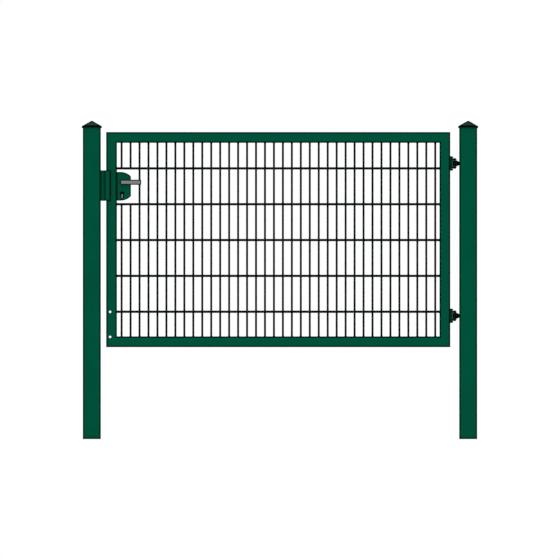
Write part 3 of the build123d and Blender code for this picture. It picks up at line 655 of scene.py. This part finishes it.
class GATE_OT_mat_welds(bpy.types.Operator):
    """Makes the weld spots where rods cross and the collars where rods meet the frame"""

    bl_idname = "gate.mat_welds"
    bl_label = "Mat welds"

    def execute(self, context):
        sizes = context.scene.gate_sizes
        middles, lower, upper = upright_runs(sizes)
        levels = level_heights(sizes)
        crossing = (levels[None, :] > lower[:, None]) & (levels[None, :] < upper[:, None])
        rods, rows = np.nonzero(crossing)
        contact = sizes.upright_rod / 2
        spots = np.stack([middles[rods], 0 * levels[rows], levels[rows]], axis=1)
        turn = np.radians(np.linspace(-75, 75, 5))
        along, radii = 1.4 * MM * np.sin(turn), 3.6 * MM * np.cos(turn)
        nuggets = [
            turned(spots + np.array([0, depth, 0]), 1, along, radii, 8) for depth in (-contact, contact)]
        # A collar's distance from the frame, and how far it stands past its rod
        flare = np.array([[0.0, 2.0], [1.0, 1.1], [2.2, 0.4], [3.4, 0.05]]) * MM
        at_bottom = lower < MAT[0].z + MM
        at_top = upper > MAT[1].z - MM
        bottom = np.stack([middles, 0 * middles, lower], axis=1)[at_bottom]
        top = np.stack([middles, 0 * middles, upper], axis=1)[at_top]
        upright_reach = sizes.upright_rod / 2 + flare[:, 1]
        pairs = np.repeat(levels, 2)
        depths = np.tile([-sizes.rod_offset, sizes.rod_offset], len(levels))
        left = np.stack([np.full(len(pairs), MAT[0].x), depths, pairs], axis=1)
        right = np.stack([np.full(len(pairs), MAT[1].x), depths, pairs], axis=1)
        level_reach = sizes.level_rod / 2 + flare[:, 1]
        collars = [
            turned(bottom, 2, flare[:, 0], upright_reach, 12),
            turned(top, 2, flare[:, 0], upright_reach, 12, direction=-1),
            turned(left, 0, flare[:, 0], level_reach, 12),
            turned(right, 0, flare[:, 0], level_reach, 12, direction=-1),
        ]
        add_piece("mat_welds", nuggets + collars, "leaf", "rod_coat")
        return {"FINISHED"}


class GATE_OT_frame_welds(bpy.types.Operator):
    """Makes the ground weld beads along the mitres of the frame"""

    bl_idname = "gate.frame_welds"
    bl_label = "Frame welds"

    def execute(self, context):
        sizes = context.scene.gate_sizes
        bead_height, ripple_pitch = 0.35 * MM, 3.5 * MM
        inset = np.array([0.12, 0.88]) * FRAME_FACE
        starts, ends, outward = [], [], []
        for x, x_way in ((LEAF_LEFT, 1), (LEAF_RIGHT, -1)):
            for z, z_way in ((LEAF_BOTTOM, 1), (LEAF_TOP, -1)):
                for y, y_way in ((FRONT, -1), (BACK, 1)):
                    starts.append((x + x_way * inset[0], y, z + z_way * inset[0]))
                    ends.append((x + x_way * inset[1], y, z + z_way * inset[1]))
                    outward.append((0, y_way, 0))
        stack = beads(starts, ends, outward, sizes.weld_bead, bead_height, ripple_pitch)
        add_piece("mitre_welds", [stack], "leaf", "green_coat", "weld_coat")
        return {"FINISHED"}


class GATE_OT_hole_rims(bpy.types.Operator):
    """Makes the beads of coat that gather round the drop bolt's holes in the lock stile"""

    bl_idname = "gate.hole_rims"
    bl_label = "Hole rims"

    def execute(self, context):
        sizes = context.scene.gate_sizes
        mount = next(mount for mount in frame["record"]["mounts"] if mount["name"] == "drop_bolt_holes")
        hole = mount["dims"]["hole_r_mm"] * MM
        spread = mount["dims"]["spacing_y_mm"] / 2 * MM
        inner = hole - sizes.hole_bead
        section = np.array([
            [-1.2 * MM, inner + 0.3 * MM], [-1.2 * MM, hole], [0.0, hole + 0.9 * MM],
            [0.3 * MM, hole + 0.6 * MM], [0.5 * MM, hole + 0.1 * MM], [0.5 * MM, inner + 0.5 * MM],
            [0.2 * MM, inner], [-0.8 * MM, inner], [-1.2 * MM, inner + 0.3 * MM]])
        x, z = mount["pos_m"][0], mount["pos_m"][2]
        rims = []
        for y, side in ((FRONT, -1), (BACK, 1)):
            bases = [(x, y, z - spread), (x, y, z + spread)]
            rims.append(turned(bases, 1, section[:, 0], section[:, 1], 32, direction=side))
        add_piece("hole_rims", rims, "leaf", "green_coat")
        return {"FINISHED"}


class GATE_OT_caps(bpy.types.Operator):
    """Makes the moulded post caps, with a swelling rim and rounded hips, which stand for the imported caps"""

    bl_idname = "gate.caps"
    bl_label = "Post caps"

    def execute(self, context):
        sizes = context.scene.gate_sizes
        clearance, wall_swell, plate = 2 * MM, 1 * MM, 2 * MM
        tip, tip_corner = 2.5 * MM, 2 * MM
        ceiling, ceiling_corner, socket_corner = 2 * MM, 1 * MM, 6 * MM
        for node, post in (("latch_post_cap", "latch_post"), ("hinge_post_cap", "hinge_post")):
            low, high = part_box(node)
            post_low, post_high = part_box(post)
            middle = ((low.x + high.x) / 2, (low.y + high.y) / 2, 0.0)
            socket = (post_high.x - post_low.x) / 2 + clearance
            outside = (high.x - low.x) / 2 + wall_swell
            roof = post_high.z + plate
            turn = np.radians(np.linspace(-90, 80, 13))
            swell = outside - sizes.cap_bulge * (1 - np.cos(turn))
            rim_middle, rim_half = (low.z + roof) / 2, (roof - low.z) / 2
            rise = np.linspace(0, 1, 9)[1:]
            eave = outside - sizes.cap_bulge
            slope = eave * (1 - rise) + tip * rise
            half = np.concatenate([[ceiling, socket, socket], swell, slope])
            heights = np.concatenate([
                [post_high.z, post_high.z, low.z], rim_middle + rim_half * np.sin(turn),
                roof + (high.z - roof) * rise])
            corner = np.concatenate([
                [ceiling_corner, socket_corner, socket_corner], np.full(len(turn), sizes.cap_hip),
                sizes.cap_hip * (1 - rise) + tip_corner * rise])
            stack = rounded(middle, 2, heights, half, half, np.minimum(corner, half * 0.95), 7)
            cap = add_piece(node + "_moulded", [stack], "posts", "cap_plastic", smooth_degrees=50.0)
            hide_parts(node)
        return {"FINISHED"}


class GATE_OT_hinge_screws(bpy.types.Operator):
    """Makes the screws and washers that hold the hinge plates to the leaf"""

    bl_idname = "gate.hinge_screws"
    bl_label = "Hinge screws"

    def execute(self, context):
        sizes = context.scene.gate_sizes
        head = sizes.screw_head / 2
        plate_thickness = 11.5 * MM
        inset = head + 1.0 * MM
        profile = np.array([
            [-0.3 * MM, head + 0.6 * MM], [0.9 * MM, head + 0.6 * MM], [1.2 * MM, head + 0.3 * MM],
            [1.2 * MM, head], [3.6 * MM, head - 0.3 * MM], [4.4 * MM, head - 1.4 * MM],
            [4.4 * MM, 0.55 * head], [2.6 * MM, 0.5 * head]])
        bases = []
        for node in ("upper_hinge_bracket", "lower_hinge_bracket"):
            low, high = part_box(node)
            face = low.x + plate_thickness
            bases += [(face, 0.0, low.z + inset), (face, 0.0, high.z - inset)]
        stack = turned(bases, 0, profile[:, 0], profile[:, 1], 24)
        add_piece("hinge_screws", [stack], "leaf", "hinge_coat")
        return {"FINISHED"}


class GATE_OT_eye_necks(bpy.types.Operator):
    """Makes the sleeves round the hinges' eyes, and the flat necks from the eyes to the hinge post"""

    bl_idname = "gate.eye_necks"
    bl_label = "Eye necks"

    def execute(self, context):
        sizes = context.scene.gate_sizes
        swing = JOINT_PLACES["gate_swing"]
        eyes = [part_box(node) for node in ("upper_eye_bolt", "lower_eye_bolt")]
        end_lap, wall, bevel = 0.3 * MM, 2.4 * MM, 0.5 * MM
        half = (eyes[0][1].z - eyes[0][0].z) / 2 + end_lap
        outer = swing[0] - eyes[0][0].x + sizes.eye_sleeve
        inner = outer - wall
        sleeve = np.array([
            [-half, inner], [-half, outer - bevel], [bevel - half, outer], [half - bevel, outer],
            [half, outer - bevel], [half, inner], [-half, inner]])
        middles = [(swing[0], swing[1], (low.z + high.z) / 2) for low, high in eyes]
        sleeves = turned(middles, 2, sleeve[:, 0], sleeve[:, 1], 32)
        add_piece("eye_sleeves", [sleeves], "posts", "hinge_coat")
        eye_lap, post_lap, neck_corner = 0.4 * MM, 1.0 * MM, 1.5 * MM
        along = np.array([swing[0] + outer - eye_lap, HINGE_POST[0].x + post_lap])
        half_depth = sizes.neck_depth / 2
        half_heights = np.array([sizes.neck_start, sizes.neck_end]) / 2
        necks = [
            rounded((0.0, swing[1], middle[2]), 0, along, half_depth, half_heights, neck_corner, 5)
            for middle in middles]
        add_piece("eye_necks", necks, "posts", "hinge_coat", "neck_coat")
        return {"FINISHED"}


class GATE_OT_lock_screws(bpy.types.Operator):
    """Makes the countersunk screws of the forend and the strike plate, and the lock cylinder's seals"""

    bl_idname = "gate.lock_screws"
    bl_label = "Lock screws"

    def execute(self, context):
        sizes = context.scene.gate_sizes
        head = sizes.sunk_head / 2
        forend_inset, strike_inset, strike_thickness = 5.0 * MM, 10.0 * MM, 3.0 * MM
        profile = np.array([
            [-0.8 * MM, head - 0.8 * MM], [0.1 * MM, head], [0.3 * MM, head - 0.3 * MM],
            [0.3 * MM, 0.5 * head], [-1.4 * MM, 0.45 * head]])
        forend = (LOCK_BODY[1].z - LOCK_BODY[0].z) / 2 - forend_inset
        forend_bases = [(LEAF_LEFT, 0.0, LOCK_MIDDLE + side * forend) for side in (-1, 1)]
        forend_screws = turned(forend_bases, 0, profile[:, 0], profile[:, 1], 20, direction=-1)
        add_piece("forend_screws", [forend_screws], "leaf", "bright_steel")
        strike = (STRIKE[1].z - STRIKE[0].z) / 2 - strike_inset
        strike_middle = (STRIKE[1].z + STRIKE[0].z) / 2
        strike_x = KEEPER[1].x + strike_thickness
        strike_heights = (strike_middle - strike, LOCK_MIDDLE, strike_middle + strike)
        strike_bases = [(strike_x, 0.0, height) for height in strike_heights]
        strike_screws = turned(strike_bases, 0, profile[:, 0], profile[:, 1], 20)
        add_piece("strike_screws", [strike_screws], "posts", "bright_steel")
        low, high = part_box("lock_cylinder")
        radius = (high.x - low.x) / 2
        lap, seal_depth, flank_half = 1.0 * MM, 13.0 * MM, 5.0 * MM
        plug = ((low.x + high.x) / 2, 0.0, high.z - radius)
        flank = (plug[0], 0.0, (plug[2] + low.z) / 2)
        half_length = (plug[2] - low.z) / 2 + lap
        half_width = flank_half + lap
        seals = []
        for depth in (-seal_depth, seal_depth):
            along = depth + np.array([-0.5, 0.5]) * MM
            seals += [
                turned([plug], 1, along, radius + lap, 32),
                rounded(flank, 1, along, half_length, half_width, 0.98 * half_width, 8)]
        add_piece("cylinder_seals", seals, "leaf", "escutcheon_plastic")
        return {"FINISHED"}


class GATE_OT_handles(bpy.types.Operator):
    """Makes the rounded lever handles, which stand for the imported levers, and their bushings"""

    bl_idname = "gate.handles"
    bl_label = "Lever handles"

    def execute(self, context):
        sizes = context.scene.gate_sizes
        thickness, neck = sizes.lever_thickness, sizes.lever_neck
        half_height = sizes.lever_height / 2
        reach = FRONT_LEVER[1].x - LEVER_AXIS_X + sizes.lever_swell
        stand_off = LEVER_AXIS_Y - FRONT_LEVER[0].y
        edge, neck_sink, flare = 2.5 * MM, 3 * MM, 1.8 * MM
        turn = np.radians(np.linspace(4, 90, 14))
        end_turn = turn[1::3]
        along = np.concatenate([
            -half_height * np.cos(turn), [reach - edge], reach - edge * (1 - np.sin(end_turn))])
        height = np.concatenate([
            half_height * np.sin(turn), [half_height], half_height - edge * (1 - np.cos(end_turn))])
        depth = np.concatenate([
            np.full(len(turn) + 1, thickness / 2), thickness / 2 - edge * (1 - np.cos(end_turn))])
        nose_thinning = np.array([1.6, 0.9, 0.4, 0.1]) * MM
        depth[:len(nose_thinning)] -= nose_thinning
        corner = np.minimum(sizes.lever_corner, 0.9 * np.minimum(height, depth))
        for name, node, side in (("front_handle", "front_lever", -1), ("back_handle", "back_lever", 1)):
            grip_y = LEVER_AXIS_Y + side * (stand_off - thickness / 2)
            grip = rounded((LEVER_AXIS_X, grip_y, LEVER_AXIS_Z), 0, along, depth, height, corner, 6)
            base_y = LEVER_AXIS_Y + side * (abs(FRONT) - neck_sink)
            length = abs(grip_y - base_y)
            profile = np.array([
                [0.0, neck], [length - 8.5 * MM, neck], [length - 7 * MM, neck + flare / 3],
                [length - 6 * MM, neck + flare], [length, neck + flare]])
            base = (LEVER_AXIS_X, base_y, LEVER_AXIS_Z)
            stem = turned([base], 1, profile[:, 0], profile[:, 1], 32, direction=side)
            handle = add_piece(name, [grip, stem], "lever", "lever_metal")
            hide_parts(node)
        ring = np.array([[-0.5, 9.4], [-0.5, 11.0], [1.6, 11.0], [2.2, 10.6], [2.2, 9.4], [-0.5, 9.4]]) * MM
        bushings = [
            turned([(LEVER_AXIS_X, y, LEVER_AXIS_Z)], 1, ring[:, 0], ring[:, 1], 32, direction=side)
            for y, side in ((FRONT, -1), (BACK, 1))]
        add_piece("lever_bushings", bushings, "leaf", "escutcheon_plastic")
        return {"FINISHED"}


class GATE_OT_stage(bpy.types.Operator):
    """Makes the floor, the white surroundings, the lamps and a camera that looks straight at the gate"""

    bl_idname = "gate.stage"
    bl_label = "Stage"

    def execute(self, context):
        scene = context.scene
        scene.view_settings.view_transform = "Standard"
        # 560 pixels of 5.58 mm make the view's width
        view_x, view_z, view_width, view_distance = -1.05, 0.8876, 3.1248, 6.0
        floor_half, floor_z = 20.0, -0.5 * MM
        surroundings_light, lamp_spread = 0.42, 25.0
        corners = ((-1, -1), (1, -1), (1, 1), (-1, 1))
        mesh = bpy.data.meshes.new("floor")
        mesh.from_pydata(
            [(view_x + x * floor_half, y * floor_half, floor_z) for x, y in corners], [], [(0, 1, 2, 3)])
        floor = bpy.data.objects.new("floor", mesh)
        scene.collection.objects.link(floor)
        material, tree, shader = new_material("pale floor", roughness=0.9, specular_ior_level=0.0)
        shader.inputs["Base Color"].default_value = rgba(scene.gate_colours.floor)
        mesh.materials.append(material)
        world = bpy.data.worlds.new("white surroundings")
        world.use_nodes = True
        tree = world.node_tree
        tree.nodes.clear()
        path = add_node(tree, "ShaderNodeLightPath")
        seen = add_node(tree, "ShaderNodeMath", {
            0: path.outputs["Is Camera Ray"], 1: path.outputs["Is Glossy Ray"]}, operation="MAXIMUM")
        shown = add_node(tree, "ShaderNodeMath", {
            0: seen, 1: path.outputs["Is Transmission Ray"]}, operation="MAXIMUM")
        level = add_node(tree, "ShaderNodeMapRange", {0: shown, 3: surroundings_light, 4: 1.0})
        background = add_node(tree, "ShaderNodeBackground", {
            "Color": (1.0, 1.0, 1.0, 1.0), "Strength": level})
        add_node(tree, "ShaderNodeOutputWorld", {"Surface": background})
        scene.world = world
        for name, strength, angles in (
                ("front lamp", 1.15, (78.0, 0.0, -8.0)), ("back lamp", 1.2, (-50.0, 0.0, 20.0)),
                ("top lamp", 0.8, (10.0, 0.0, 0.0))):
            lamp = bpy.data.lights.new(name, "SUN")
            lamp.energy = strength
            lamp.angle = math.radians(lamp_spread)
            holder = bpy.data.objects.new(name, lamp)
            holder.rotation_euler = [math.radians(angle) for angle in angles]
            holder.visible_glossy = False
            scene.collection.objects.link(holder)
        view = bpy.data.cameras.new("front view")
        view.type = "ORTHO"
        view.ortho_scale = view_width
        camera = bpy.data.objects.new("front view", view)
        camera.location = (view_x, -view_distance, view_z)
        camera.rotation_euler = (math.radians(90.0), 0.0, 0.0)
        scene.collection.objects.link(camera)
        scene.camera = camera
        return {"FINISHED"}


STEPS = (
    GATE_OT_finishes, GATE_OT_mat, GATE_OT_mat_welds, GATE_OT_frame_welds, GATE_OT_hole_rims, GATE_OT_caps,
    GATE_OT_hinge_screws, GATE_OT_eye_necks, GATE_OT_lock_screws, GATE_OT_handles, GATE_OT_stage)


class GATE_PT_panel(bpy.types.Panel):
    """Lists the steps that dress the gate"""

    bl_idname = "GATE_PT_panel"
    bl_label = "Tubular Frame Gate"
    bl_space_type = "VIEW_3D"
    bl_region_type = "UI"
    bl_category = "Gate"

    def draw(self, context):
        for step in STEPS:
            self.layout.operator(step.bl_idname)
        for group in (context.scene.gate_sizes, context.scene.gate_colours):
            box = self.layout.box()
            for name in group.__annotations__:
                box.prop(group, name)


CLASSES = (GateSizes, GateColours, *STEPS, GATE_PT_panel)


def register():
    for item in CLASSES:
        bpy.utils.register_class(item)
    bpy.types.Scene.gate_sizes = bpy.props.PointerProperty(type=GateSizes)
    bpy.types.Scene.gate_colours = bpy.props.PointerProperty(type=GateColours)


def unregister():
    del bpy.types.Scene.gate_colours
    del bpy.types.Scene.gate_sizes
    for item in reversed(CLASSES):
        bpy.utils.unregister_class(item)


def main():
    register()
    for step in STEPS:
        family, name = step.bl_idname.split(".")
        getattr(getattr(bpy.ops, family), name)()


if __name__ == "__main__":
    main()
